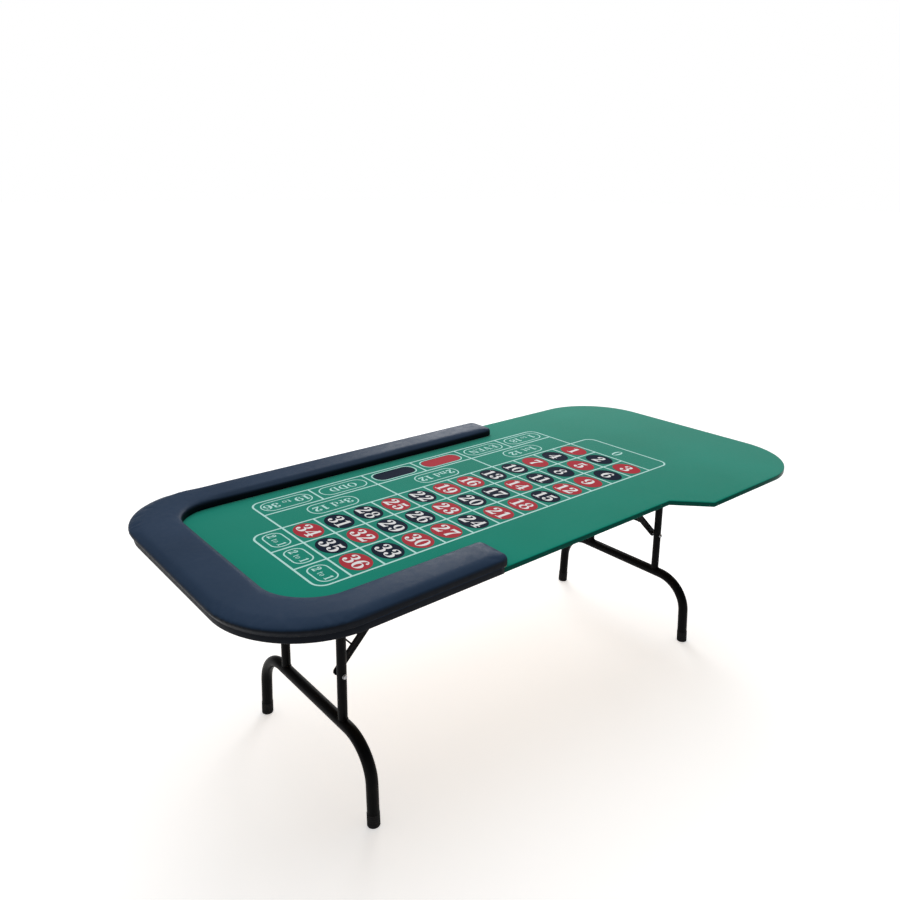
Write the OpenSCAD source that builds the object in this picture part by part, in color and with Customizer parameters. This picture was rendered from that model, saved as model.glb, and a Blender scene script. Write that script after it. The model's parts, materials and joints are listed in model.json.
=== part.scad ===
// Folding roulette table: a padded armrest round a felted board on two folding legs.
// The origin is on the floor under the middle of the overall box, +X towards the wheel
// end, +Y away from the player's notch side, +Z up. All sizes are in millimetres.

/* [Table top] */
// Overall length, end to end
table_l = 2134; // [2000:1:2300]
// Depth at the wide wheel end
wide_d = 1060; // [1000:1:1100]
// Step back of the player side edge along the narrow part
notch_d = 99; // [60:1:120]
// X where the step starts, at the narrow part's edge
notch_x = 338; // [300:1:400]
// Plan radius of the cloth edge at the rounded corners, apart from the far left one
corner_r = 260; // [230:1:300]
// Plan radius of the cloth edge at the far left corner
far_left_r = 225; // [200:1:230]
// Height of the playing surface above the floor
felt_z = 740; // [720:1:770]
// Thickness of the plywood board
board_t = 12; // [9:1:18]
// Thickness of the foam under the cloth
underlay_t = 2; // [1:0.5:4]
// Thickness of the layout cloth
cloth_t = 1; // [0.5:0.1:1.5]
// Width of cloth turned under the board
cloth_turn = 30; // [15:1:60]

/* [Armrest] */
// Width of the armrest, from the cloth edge inwards
rail_w = 120; // [100:1:130]
// Height of the armrest above the cloth
rail_h = 34; // [28:1:45]
// Thickness of the vinyl cover
vinyl_t = 1.5; // [1:0.1:2]
// Thickness of the wooden core
core_t = 14; // [10:1:18]
// Radius along the outer top edge
rail_outer_r = 14; // [8:1:18]
// Radius along the inner top edge
rail_inner_r = 12; // [8:1:20]
// Plan radius at the two ends
rail_end_r = 24; // [20:1:40]
// X of the end of the arm on the far side
far_end_x = 350; // [250:1:380]
// X of the end of the arm on the player side
near_end_x = -358; // [-450:1:-250]

/* [Legs] */
// X of the left leg's hinge
left_leg_x = -685; // [-700:1:-660]
// X of the right leg's hinge
right_leg_x = 751; // [740:1:760]
// Distance of the hinge axis below the board
hinge_drop = 36; // [35:1:38]
// Outside diameter of uprights and hinge tube
upright_d = 28; // [25:0.5:28]
// Distance between the uprights, centre to centre
upright_spacing = 325; // [300:1:350]
// Outside diameter of the foot tube
foot_d = 35; // [30:1:36]
// Height of the foot tube's crossbar axis
crossbar_z = 235; // [225:1:250]
// Distance between the feet, centre to centre on the floor
foot_spacing = 619; // [580:1:640]
// Centre line radius of the foot tube's bends
bend_r = 115; // [100:1:125]
// Outward lean of the feet in degrees
foot_lean = 2.5; // [1:0.5:4]
// Wall thickness of all tubes
tube_wall = 1.5; // [1.2:0.1:2]
// Length of the hinge tube
hinge_tube_l = 404; // [404:1:420]

/* [Stays] */
// Distance of the stay bolt below the hinge axis
bolt_drop = 301; // [298:1:303]
// Length of a lower stay, hole to hole
lower_l = 210; // [208:1:212]
// Angle of the lower stay from vertical when open
lower_angle = 45; // [44:0.5:46]
// Distance of the stay bracket's rivet from the hinge, inwards
bracket_in = 384; // [380:1:388]
// Rise of the stay bracket's rivet above the hinge axis
bracket_rise = 20; // [18:1:20]
// Width of a lower stay
lower_w = 25; // [22:1:26]
// Width of an upper stay
upper_w = 16; // [14:1:17]
// Diameter of the cross tube between the lower stays
cross_d = 16; // [12:1:16]
// Distance of the cross tube from the bolt along the stay
cross_at = 115; // [105:1:125]

/* [Hidden] */
$fn = 96;
big = 3000;
cut_margin = 50;

// Levels
board_z = felt_z - cloth_t - underlay_t - board_t;
cloth_low_z = board_z - cloth_t;
rail_z = felt_z + rail_h;
hinge_z = board_z - hinge_drop;

// Plan of the cloth edge
left_x = -table_l / 2 + vinyl_t;
right_x = table_l / 2;
far_y = wide_d / 2 - vinyl_t;
near_wide_y = -wide_d / 2;
near_y = near_wide_y + notch_d;
leg_y = (near_y - vinyl_t + far_y + vinyl_t) / 2;

// Armrest screws, from below through the board
rail_screw_step = 260;
rail_screw_near_step = 190;
rail_screw_end = 60;
screw_short = 4;
rail_screw_l = board_t + underlay_t + cloth_t + core_t - screw_short;
screw_d = 4;
screw_head_d = 8;
screw_head_t = 2.5;

// Leg bracket: a plate under the board with a ring round the hinge tube
fit_gap = 0.06;
side_gap = 0.5;
layer_gap = 1;
bracket_l = 64;
bracket_w = 24;
plate_t = 4;
ring_wall = 4;
ring_r = upright_d / 2 + ring_wall;
bracket_y = upright_spacing / 2 + upright_d / 2 + bracket_w / 2 + layer_gap;
bracket_screw_x = 24;
bracket_screw_y = 6;
bracket_screw_l = 10;

// Stay planes, counted from the leg's middle
upright_in = upright_spacing / 2 - upright_d / 2;
upper_t = 4;
upper_y = upright_in - layer_gap - upper_t;
lower_t = 5;
lower_y = upper_y - layer_gap - lower_t;
spacer_d = 12;
ear_t = 3;
ear_gap = 1;
ear_w = 20;
stay_screw_x = 18;
stay_plate_l = 52;

// Bolts and rivets
bolt_d = 8;
bolt_head_d = 14;
bolt_head_t = 6;
nut_d = 13;
nut_t = 6;
rivet_d = 8;
rivet_head_d = 14;
rivet_head_t = 2.5;
tie_rod_d = 5;
tie_rod_at = 78;
cross_offset = 6.5;

// Foot tube bend and foot
bend_turn = 90 - foot_lean;
bend_lap = 1;
bend_step = 0.2;
cap_floor = 6;
cap_wall = 1;
cap_h = 34;
foot_run = (crossbar_z - bend_r * (1 - cos(bend_turn)) - cap_floor) / sin(bend_turn);
bend_start_y = foot_spacing / 2 - bend_r * sin(bend_turn) - foot_run * cos(bend_turn);

// ---- Table top ----

// Plan of the board, moved in by inset from the cloth edge
module outline(inset = 0) {
    slant = inset * (sqrt(2) - 1);
    left_c = left_x + corner_r;
    right_c = right_x - corner_r;
    far_left_c = left_x + far_left_r;
    difference() {
        union() {
            translate([left_c, near_wide_y + inset])
                square([right_c - left_c, far_y - near_wide_y - 2 * inset]);
            translate([far_left_c, near_y + corner_r])
                square([left_c - far_left_c, far_y - inset - near_y - corner_r]);
            translate([left_x + inset, near_y + corner_r])
                square([left_c - left_x - inset, far_y - far_left_r - near_y - corner_r]);
            translate([right_c, near_wide_y + corner_r])
                square([corner_r - inset, far_y - near_wide_y - 2 * corner_r]);
            translate([far_left_c, far_y - far_left_r]) circle(far_left_r - inset);
            for (c = [[left_c, near_y + corner_r], [right_c, near_wide_y + corner_r],
                      [right_c, far_y - corner_r]])
                translate(c) circle(corner_r - inset);
        }
        polygon([
            [-table_l, near_y + inset],
            [notch_x + slant, near_y + inset],
            [notch_x + notch_d + slant, near_wide_y + inset],
            [notch_x + notch_d + slant, near_wide_y - big],
            [-table_l, near_wide_y - big],
        ]);
    }
}

module slab(inset, low, high) {
    translate([0, 0, low]) linear_extrude(high - low) outline(inset);
}

module top_board() {
    color("burlywood") difference() {
        slab(cloth_t, board_z, board_z + board_t);
        rail_screw_shanks();
        for (side = ["left", "right"]) {
            leg_frame(side) leg_bracket_shanks();
            leg_frame(side) stay_bracket_shanks();
        }
    }
}

module foam_underlay() {
    color("dimgray") difference() {
        slab(cloth_t, board_z + board_t, felt_z - cloth_t);
        rail_screw_shanks();
    }
}

module layout_cloth() {
    color("seagreen") difference() {
        slab(0, cloth_low_z, felt_z);
        slab(cloth_t, board_z, felt_z - cloth_t);
        slab(cloth_turn, cloth_low_z - cloth_t, board_z + cloth_t);
        rail_screw_shanks();
    }
}

// ---- Armrest ----

// Cross section of the armrest: x runs inwards from the cloth edge, y is height
module rail_profile(inset) {
    outer = -vinyl_t + inset;
    inner = rail_w - inset;
    top = rail_z - inset;
    r_out = rail_outer_r - inset;
    r_in = rail_inner_r - inset;
    intersection() {
        union() {
            translate([outer, 0]) square([inner - outer, top - max(r_out, r_in)]);
            translate([outer + r_out, 0]) square([inner - outer - r_out - r_in, top]);
            translate([outer + r_out, top - r_out]) circle(r_out);
            translate([inner - r_in, top - r_in]) circle(r_in);
        }
        translate([outer, felt_z]) square([inner - outer, rail_h]);
    }
}

// The strip of vinyl that hangs over the board's edge
module skirt_profile() {
    translate([-vinyl_t, cloth_low_z]) square([vinyl_t, felt_z - cloth_low_z]);
}

// Sweeps a cross section round the U of the armrest
module rail_sweep(far_end, near_end) {
    far_c = left_x + far_left_r;
    near_c = left_x + corner_r;
    translate([far_c, far_y, 0]) mirror([0, 1, 0]) rotate([90, 0, 90])
        linear_extrude(far_end - far_c) children();
    translate([near_c, near_y, 0]) rotate([90, 0, 90])
        linear_extrude(near_end - near_c) children();
    translate([left_x, far_y - far_left_r, 0]) rotate([90, 0, 0])
        linear_extrude(far_y - near_y - far_left_r - corner_r) children();
    for (corner = [[far_c, far_y - far_left_r, 90, far_left_r],
                   [near_c, near_y + corner_r, 180, corner_r]])
        translate([corner[0], corner[1], 0]) rotate([0, 0, corner[2]])
            rotate_extrude(angle = 90, $fn = 180)
                translate([corner[3], 0]) mirror([1, 0]) children();
}

// What is cut away to round one end of an arm in plan, at the two corners
module end_corner_cuts(end_x, low_y, high_y, r) {
    for (c = [[low_y + r, -1], [high_y - r, 1]])
        difference() {
            translate([end_x - r, c[1] > 0 ? c[0] : c[0] - 2 * r, felt_z - cut_margin])
                cube([2 * r, 2 * r, rail_h + 2 * cut_margin]);
            translate([end_x - r, c[0], felt_z - 2 * cut_margin])
                cylinder(h = rail_h + 4 * cut_margin, r = r);
        }
}

// The armrest's whole form above the cloth, moved in by inset
module rail_form(inset) {
    far_end = far_end_x - inset;
    near_end = near_end_x - inset;
    low = -vinyl_t + inset;
    high = rail_w - inset;
    r = rail_end_r - inset;
    difference() {
        rail_sweep(far_end, near_end) rail_profile(inset);
        end_corner_cuts(far_end, far_y - high, far_y - low, r);
        end_corner_cuts(near_end, near_y + low, near_y + high, r);
    }
}

module below(z) {
    translate([-big, -big, z - big]) cube([2 * big, 2 * big, big]);
}

module armrest_core() {
    color("tan") difference() {
        intersection() {
            rail_form(vinyl_t);
            below(felt_z + core_t);
        }
        rail_screw_shanks();
    }
}

module armrest_foam() {
    color("lightgray") difference() {
        rail_form(vinyl_t);
        below(felt_z + core_t);
    }
}

module armrest_cover() {
    color("darkslategray") {
        difference() {
            rail_form(0);
            rail_form(vinyl_t);
        }
        rail_sweep(far_end_x - rail_end_r, near_end_x - rail_end_r) skirt_profile();
    }
}

// Places of the screws that hold the armrest
function rail_screw_places() = let (
    mid = rail_w / 2,
    far = [for (x = [left_x + corner_r : rail_screw_step : far_end_x - rail_screw_end])
        [x, far_y - mid]],
    near = [for (x = [left_x + corner_r : rail_screw_near_step : near_end_x - rail_screw_end])
        [x, near_y + mid]],
    end = [for (y = [near_y + corner_r + rail_screw_end : rail_screw_step : far_y - corner_r])
        [left_x + mid, y]]
) concat(far, near, end);

module rail_screw_shanks() {
    for (p = rail_screw_places())
        translate([p[0], p[1], board_z]) cylinder(h = rail_screw_l, d = screw_d);
}

module armrest_screws() {
    color("silver") {
        rail_screw_shanks();
        for (p = rail_screw_places())
            translate([p[0], p[1], board_z - screw_head_t])
                cylinder(h = screw_head_t, d = screw_head_d);
    }
}

// ---- Leg frame: x inwards from the hinge, y from the leg's middle, z from the floor ----

module leg_frame(side) {
    if (side == "left") translate([left_leg_x, leg_y, 0]) children();
    else translate([right_leg_x, leg_y, 0]) mirror([1, 0, 0]) children();
}

// A round bar along Y between two places
module bar_y(x, z, y0, y1, d) {
    translate([x, y0, z]) rotate([-90, 0, 0]) cylinder(h = y1 - y0, d = d);
}

// A flat bar in a plane of constant Y, with round ends, from one point to another
module flat_bar(from, to, w, y0, t) {
    run = to - from;
    translate([from[0], y0, from[1]]) rotate([0, -atan2(run[1], run[0]), 0]) {
        translate([0, 0, -w / 2]) cube([norm(run), t, w]);
        bar_y(0, 0, 0, t, w);
        bar_y(norm(run), 0, 0, t, w);
    }
}

// Lowest and highest Y of a layer that starts at y0 on the side given by s (-1 front, 1 rear)
function layer_low(s, y0, t) = s > 0 ? y0 : -y0 - t;

bolt_at = [0, hinge_z - bolt_drop];
stay_way = [sin(lower_angle), cos(lower_angle)];
knee_at = bolt_at + lower_l * stay_way;
rivet_at = [bracket_in, hinge_z + bracket_rise];
stay_side = [stay_way[1], -stay_way[0]];
cross_pos = bolt_at + cross_at * stay_way + cross_offset * stay_side;
tie_pos = bolt_at + tie_rod_at * stay_way;

module tube_ring(d) {
    difference() {
        circle(d = d, $fn = 48);
        circle(d = d - 2 * tube_wall, $fn = 48);
    }
}

// The crossbar, its two bends and the runs down to the feet. The straight stretches reach
// bend_lap into the bends, which are bend_step thinner there.
module foot_tube() {
    half = bend_start_y + bend_lap;
    color("black") {
        translate([0, -half, crossbar_z]) rotate([-90, 0, 0])
            linear_extrude(2 * half) tube_ring(foot_d);
        for (s = [0, 1]) mirror([0, s, 0]) {
            translate([0, bend_start_y, crossbar_z - bend_r]) rotate([90, 0, 90])
                rotate([0, 0, foot_lean]) rotate_extrude(angle = bend_turn, $fn = 48)
                    translate([bend_r, 0]) tube_ring(foot_d - bend_step);
            translate([0, foot_spacing / 2, cap_floor]) rotate([foot_lean, 0, 0])
                linear_extrude(foot_run + bend_lap) tube_ring(foot_d);
        }
    }
}

module foot_cap(s) {
    d = foot_d + 2 * cap_wall;
    color("dimgray") mirror([0, s < 0 ? 1 : 0, 0]) difference() {
        translate([0, foot_spacing / 2, cap_floor]) rotate([foot_lean, 0, 0])
            translate([0, 0, -2 * cap_floor]) cylinder(h = cap_h + cap_floor, d = d);
        translate([0, foot_spacing / 2, cap_floor]) rotate([foot_lean, 0, 0])
            cylinder(h = 2 * cap_h, d = foot_d);
        below(0);
    }
}

module upright(s) {
    y = s * upright_spacing / 2;
    color("black") difference() {
        translate([0, y, crossbar_z]) cylinder(h = hinge_z - crossbar_z, d = upright_d);
        translate([0, y, 0]) cylinder(h = 2 * hinge_z, d = upright_d - 2 * tube_wall);
        bar_y(0, crossbar_z, -bend_start_y, bend_start_y, foot_d);
        bar_y(0, hinge_z, -hinge_tube_l / 2, hinge_tube_l / 2, upright_d);
        bar_y(bolt_at[0], bolt_at[1], -upright_spacing, upright_spacing, bolt_d);
    }
}

module hinge_tube() {
    color("black") difference() {
        bar_y(0, hinge_z, -hinge_tube_l / 2, hinge_tube_l / 2, upright_d);
        bar_y(0, hinge_z, -hinge_tube_l, hinge_tube_l, upright_d - 2 * tube_wall);
    }
}

// A bolt through each upright, a spacer and the lower stay, with its nut on the inside
module stay_bolts() {
    outside = upright_in + upright_d;
    nut_y = lower_y - side_gap - nut_t;
    color("silver") for (s = [0, 1]) mirror([0, s, 0]) {
        bar_y(bolt_at[0], bolt_at[1], nut_y, outside, bolt_d);
        bar_y(bolt_at[0], bolt_at[1], outside, outside + bolt_head_t, bolt_head_d);
        bar_y(bolt_at[0], bolt_at[1], nut_y, nut_y + nut_t, nut_d);
        bar_y(bolt_at[0], bolt_at[1], lower_y + lower_t + side_gap, upright_in, spacer_d);
    }
}

module leg_bracket(s) {
    color("darkgray") difference() {
        union() {
            translate([-bracket_l / 2, s * bracket_y - bracket_w / 2, board_z - plate_t])
                cube([bracket_l, bracket_w, plate_t]);
            bar_y(0, hinge_z, s * bracket_y - bracket_w / 2, s * bracket_y + bracket_w / 2,
                  2 * ring_r);
            translate([-ring_r, s * bracket_y - bracket_w / 2, hinge_z])
                cube([2 * ring_r, bracket_w, hinge_drop]);
        }
        bar_y(0, hinge_z, -big, big, upright_d + 2 * fit_gap);
        leg_bracket_shanks();
    }
}

function leg_bracket_screw_places() =
    [for (s = [-1, 1], a = [-1, 1], c = [-1, 1])
        [a * bracket_screw_x, s * bracket_y + c * bracket_screw_y]];

module leg_bracket_shanks() {
    for (p = leg_bracket_screw_places())
        translate([p[0], p[1], board_z - plate_t]) cylinder(h = plate_t + bracket_screw_l, d = screw_d);
}

module leg_bracket_screws() {
    color("silver") {
        leg_bracket_shanks();
        for (p = leg_bracket_screw_places())
            translate([p[0], p[1], board_z - plate_t - screw_head_t])
                cylinder(h = screw_head_t, d = screw_head_d);
    }
}

// Two ears hang from a plate, one each side of the upper stay
module stay_bracket(s) {
    inner = upper_y - ear_gap - ear_t;
    outer = upper_y + upper_t + ear_gap;
    drop = board_z - plate_t - rivet_at[1];
    color("darkgray") difference() {
        union() {
            translate([rivet_at[0] - stay_plate_l / 2, layer_low(s, inner, outer + ear_t - inner),
                       board_z - plate_t])
                cube([stay_plate_l, outer + ear_t - inner, plate_t]);
            for (y0 = [inner, outer]) {
                translate([rivet_at[0] - ear_w / 2, layer_low(s, y0, ear_t), rivet_at[1]])
                    cube([ear_w, ear_t, drop]);
                bar_y(rivet_at[0], rivet_at[1], layer_low(s, y0, ear_t),
                      layer_low(s, y0, ear_t) + ear_t, ear_w);
            }
        }
        bar_y(rivet_at[0], rivet_at[1], -big, big, rivet_d);
        stay_bracket_shanks();
    }
}

function stay_bracket_screw_places() =
    [for (s = [-1, 1], a = [-1, 1])
        [rivet_at[0] + a * stay_screw_x, s * (upper_y + upper_t / 2)]];

module stay_bracket_shanks() {
    for (p = stay_bracket_screw_places())
        translate([p[0], p[1], board_z - plate_t]) cylinder(h = plate_t + bracket_screw_l, d = screw_d);
}

module stay_bracket_screws() {
    color("silver") {
        stay_bracket_shanks();
        for (p = stay_bracket_screw_places())
            translate([p[0], p[1], board_z - plate_t - screw_head_t])
                cylinder(h = screw_head_t, d = screw_head_d);
    }
}

module stay_bracket_rivets() {
    inner = upper_y - ear_gap - ear_t;
    outer = upper_y + upper_t + ear_gap + ear_t;
    color("silver") for (s = [0, 1]) mirror([0, s, 0]) {
        bar_y(rivet_at[0], rivet_at[1], inner - rivet_head_t, outer, rivet_d);
        bar_y(rivet_at[0], rivet_at[1], inner - rivet_head_t, inner, rivet_head_d);
    }
}

module lower_stay(s) {
    low = layer_low(s, lower_y, lower_t);
    color("black") difference() {
        flat_bar(bolt_at, knee_at, lower_w, low, lower_t);
        bar_y(bolt_at[0], bolt_at[1], -big, big, bolt_d + 2 * fit_gap);
        bar_y(knee_at[0], knee_at[1], -big, big, rivet_d);
        bar_y(tie_pos[0], tie_pos[1], -big, big, tie_rod_d);
    }
}

module stay_cross_tube() {
    color("black") difference() {
        bar_y(cross_pos[0], cross_pos[1], -lower_y, lower_y, cross_d);
        bar_y(cross_pos[0], cross_pos[1], -big, big, cross_d - 2 * tube_wall);
    }
}

module stay_tie_rod() {
    color("silver")
        bar_y(tie_pos[0], tie_pos[1], -lower_y - lower_t, lower_y + lower_t, tie_rod_d);
}

// The inner half of each knee rivet, in the lower stay
module knee_rivets() {
    color("silver") for (s = [0, 1]) mirror([0, s, 0]) {
        bar_y(knee_at[0], knee_at[1], lower_y - rivet_head_t, lower_y + lower_t, rivet_d);
        bar_y(knee_at[0], knee_at[1], lower_y - rivet_head_t, lower_y, rivet_head_d);
    }
}

// The outer half of each knee rivet, flush in the upper stay
module knee_studs() {
    color("silver") for (s = [0, 1]) mirror([0, s, 0])
        bar_y(knee_at[0], knee_at[1], upper_y, upper_y + upper_t, rivet_d);
}

module upper_stay(s) {
    low = layer_low(s, upper_y, upper_t);
    color("black") difference() {
        flat_bar(rivet_at, knee_at, upper_w, low, upper_t);
        bar_y(rivet_at[0], rivet_at[1], -big, big, rivet_d + 2 * fit_gap);
        bar_y(knee_at[0], knee_at[1], -big, big, rivet_d);
    }
}

// ---- Nodes ----

top_board();
foam_underlay();
layout_cloth();
armrest_core();
armrest_foam();
armrest_cover();
armrest_screws();
leg_frame("left") leg_bracket(-1);  // left_front_leg_bracket
leg_frame("left") leg_bracket(1);  // left_rear_leg_bracket
leg_frame("left") leg_bracket_screws();  // left_leg_bracket_screws
leg_frame("left") stay_bracket(-1);  // left_front_stay_bracket
leg_frame("left") stay_bracket(1);  // left_rear_stay_bracket
leg_frame("left") stay_bracket_screws();  // left_stay_bracket_screws
leg_frame("left") stay_bracket_rivets();  // left_stay_bracket_rivets
leg_frame("left") foot_tube();  // left_foot_tube
leg_frame("left") upright(-1);  // left_front_upright
leg_frame("left") upright(1);  // left_rear_upright
leg_frame("left") hinge_tube();  // left_hinge_tube
leg_frame("left") foot_cap(-1);  // left_front_foot_cap
leg_frame("left") foot_cap(1);  // left_rear_foot_cap
leg_frame("left") stay_bolts();  // left_stay_bolts
leg_frame("left") lower_stay(-1);  // left_front_lower_stay
leg_frame("left") lower_stay(1);  // left_rear_lower_stay
leg_frame("left") stay_cross_tube();  // left_stay_cross_tube
leg_frame("left") stay_tie_rod();  // left_stay_tie_rod
leg_frame("left") knee_rivets();  // left_knee_rivets
leg_frame("left") upper_stay(-1);  // left_front_upper_stay
leg_frame("left") upper_stay(1);  // left_rear_upper_stay
leg_frame("left") knee_studs();  // left_knee_studs
leg_frame("right") leg_bracket(-1);  // right_front_leg_bracket
leg_frame("right") leg_bracket(1);  // right_rear_leg_bracket
leg_frame("right") leg_bracket_screws();  // right_leg_bracket_screws
leg_frame("right") stay_bracket(-1);  // right_front_stay_bracket
leg_frame("right") stay_bracket(1);  // right_rear_stay_bracket
leg_frame("right") stay_bracket_screws();  // right_stay_bracket_screws
leg_frame("right") stay_bracket_rivets();  // right_stay_bracket_rivets
leg_frame("right") foot_tube();  // right_foot_tube
leg_frame("right") upright(-1);  // right_front_upright
leg_frame("right") upright(1);  // right_rear_upright
leg_frame("right") hinge_tube();  // right_hinge_tube
leg_frame("right") foot_cap(-1);  // right_front_foot_cap
leg_frame("right") foot_cap(1);  // right_rear_foot_cap
leg_frame("right") stay_bolts();  // right_stay_bolts
leg_frame("right") lower_stay(-1);  // right_front_lower_stay
leg_frame("right") lower_stay(1);  // right_rear_lower_stay
leg_frame("right") stay_cross_tube();  // right_stay_cross_tube
leg_frame("right") stay_tie_rod();  // right_stay_tie_rod
leg_frame("right") knee_rivets();  // right_knee_rivets
leg_frame("right") upper_stay(-1);  // right_front_upper_stay
leg_frame("right") upper_stay(1);  // right_rear_upper_stay
leg_frame("right") knee_studs();  // right_knee_studs
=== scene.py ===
"""Looks of the folding roulette table: cloth, print, armrest, metal, stage and camera.

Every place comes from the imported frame. Lengths are in metres, +X is the wheel end.
"""
import json
import math
import random

import bmesh
import bpy
from mathutils import Euler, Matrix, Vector, noise
from mathutils.geometry import delaunay_2d_cdt


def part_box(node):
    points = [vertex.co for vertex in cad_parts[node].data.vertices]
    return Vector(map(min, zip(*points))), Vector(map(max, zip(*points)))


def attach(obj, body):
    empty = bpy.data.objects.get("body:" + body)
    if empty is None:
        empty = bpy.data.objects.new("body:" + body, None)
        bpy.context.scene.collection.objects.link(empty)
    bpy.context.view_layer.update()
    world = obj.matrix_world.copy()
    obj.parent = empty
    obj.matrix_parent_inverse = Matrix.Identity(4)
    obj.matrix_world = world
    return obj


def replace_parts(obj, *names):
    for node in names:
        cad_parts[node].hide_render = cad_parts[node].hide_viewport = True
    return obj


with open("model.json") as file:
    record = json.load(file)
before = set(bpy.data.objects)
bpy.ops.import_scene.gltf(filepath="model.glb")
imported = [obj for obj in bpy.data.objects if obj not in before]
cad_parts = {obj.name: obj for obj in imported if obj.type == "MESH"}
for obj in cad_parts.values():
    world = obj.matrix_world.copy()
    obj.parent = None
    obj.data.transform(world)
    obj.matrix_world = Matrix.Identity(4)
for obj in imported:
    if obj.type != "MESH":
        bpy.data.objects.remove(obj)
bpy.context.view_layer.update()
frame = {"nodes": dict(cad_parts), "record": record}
MM = 0.001
rng = random.Random(7)

# ---- The frame's own places ----
cloth_lo, cloth_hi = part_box("layout_cloth")
rail_lo, rail_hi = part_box("armrest_cover")
felt_z = cloth_hi.z
rail_z = rail_hi.z
VINYL = cloth_lo.x - rail_lo.x
CORNER_R, FAR_LEFT_R = 260 * MM, 225 * MM
NOTCH_D = 99 * MM
NOTCH_X = 338 * MM
near_y = cloth_lo.y + NOTCH_D
far_y = cloth_hi.y
left_x = cloth_lo.x
right_x = cloth_hi.x


# ---- Mesh helpers ----
def add_mesh(name, verts, faces, smooth=False):
    """A new mesh object in the scene."""
    mesh = bpy.data.meshes.new(name)
    mesh.from_pydata([tuple(v) for v in verts], [], faces)
    mesh.update()
    piece = bpy.data.objects.new(name, mesh)
    bpy.context.scene.collection.objects.link(piece)
    if smooth:
        mesh.shade_smooth()
    return piece


def recalc(piece):
    """Points every normal outwards."""
    bm = bmesh.new()
    bm.from_mesh(piece.data)
    bmesh.ops.recalc_face_normals(bm, faces=bm.faces)
    bm.to_mesh(piece.data)
    bm.free()


def bands(rows, sides, closed=False, caps=True):
    """The faces between rows of sides points each; closed joins the last row to the first."""
    pairs = [(i, (i + 1) % rows) for i in range(rows if closed else rows - 1)]
    faces = [[i * sides + k, i * sides + (k + 1) % sides, j * sides + (k + 1) % sides, j * sides + k]
             for i, j in pairs for k in range(sides)]
    if caps and not closed:
        faces += [list(range(sides)), [(rows - 1) * sides + k for k in reversed(range(sides))]]
    return faces


def turned(x, y, angle):
    """A flat point or direction turned about the origin."""
    return x * math.cos(angle) - y * math.sin(angle), x * math.sin(angle) + y * math.cos(angle)


def arc(cx, cy, r, start, end, steps):
    """Points along an arc, both ends included, angles in degrees."""
    turn = [math.radians(start + (end - start) * i / steps) for i in range(steps + 1)]
    return [(cx + r * math.cos(a), cy + r * math.sin(a)) for a in turn]


def apply_modifiers(piece):
    """Bakes a piece's modifiers into its mesh."""
    graph = bpy.context.evaluated_depsgraph_get()
    mesh = bpy.data.meshes.new_from_object(piece.evaluated_get(graph))
    piece.modifiers.clear()
    piece.data = mesh


# ---- Materials ----
class Nodes:
    """A short way to write a node material: one principled shader and its inputs."""

    def __init__(self, name):
        self.material = bpy.data.materials.new(name)
        self.material.use_nodes = True
        self.tree = self.material.node_tree
        self.shader = self.tree.nodes["Principled BSDF"]
        coord = self.tree.nodes.new("ShaderNodeTexCoord")
        self.place = coord.outputs["Object"]

    def add(self, kind, inputs=None, **fields):
        node = self.tree.nodes.new(kind)
        for key, value in fields.items():
            setattr(node, key, value)
        for key, value in (inputs or {}).items():
            self.put(node.inputs[key], value)
        return node

    def put(self, socket, value):
        if isinstance(value, bpy.types.NodeSocket):
            self.tree.links.new(value, socket)
        else:
            socket.default_value = value

    def set(self, **inputs):
        for key, value in inputs.items():
            self.put(self.shader.inputs[key.replace("_", " ")], value)

    def scaled(self, scale):
        return self.add("ShaderNodeMapping", {"Vector": self.place, "Scale": scale}).outputs[0]

    def noise(self, scale, detail=4.0, rough=0.5, vector=None):
        node = self.add("ShaderNodeTexNoise", {
            "Vector": vector or self.place, "Scale": scale, "Detail": detail, "Roughness": rough})
        return node.outputs["Fac"]

    def voronoi(self, scale, feature="F1"):
        node = self.add("ShaderNodeTexVoronoi", {"Vector": self.place, "Scale": scale},
                        feature=feature)
        return node.outputs["Distance"]

    def remap(self, value, low, high, out_low, out_high):
        return self.add("ShaderNodeMapRange", {
            "Value": value, "From Min": low, "From Max": high,
            "To Min": out_low, "To Max": out_high}).outputs[0]

    def ramp(self, value, stops):
        node = self.add("ShaderNodeValToRGB", {"Fac": value})
        ramp = node.color_ramp
        ramp.elements[0].position, ramp.elements[0].color = stops[0][0], (*stops[0][1], 1)
        ramp.elements[1].position, ramp.elements[1].color = stops[-1][0], (*stops[-1][1], 1)
        for place, color in stops[1:-1]:
            ramp.elements.new(place).color = (*color, 1)
        return node.outputs["Color"]

    def blend(self, share, low, high):
        """Colour low where share is 0 and high where it is 1."""
        node = self.add("ShaderNodeMix", data_type="RGBA")
        self.put(node.inputs["Factor"], share)
        for socket, color in ((node.inputs[6], low), (node.inputs[7], high)):
            self.put(socket, color if isinstance(color, bpy.types.NodeSocket) else (*color, 1))
        return node.outputs[2]

    def upward(self, low, high):
        """0 where the surface stands upright or faces down, 1 where it faces up."""
        normal = self.tree.nodes.new("ShaderNodeTexCoord").outputs["Normal"]
        z = self.add("ShaderNodeSeparateXYZ", {"Vector": normal}).outputs["Z"]
        return self.remap(z, low, high, 0.0, 1.0)

    def math(self, operation, a, b=0.0):
        return self.add("ShaderNodeMath", {0: a, 1: b}, operation=operation).outputs[0]

    def bump(self, height, strength, distance, normal=None):
        node = self.add("ShaderNodeBump", {
            "Height": height, "Strength": strength, "Distance": distance})
        if normal is not None:
            self.put(node.inputs["Normal"], normal)
        return node.outputs["Normal"]


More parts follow.
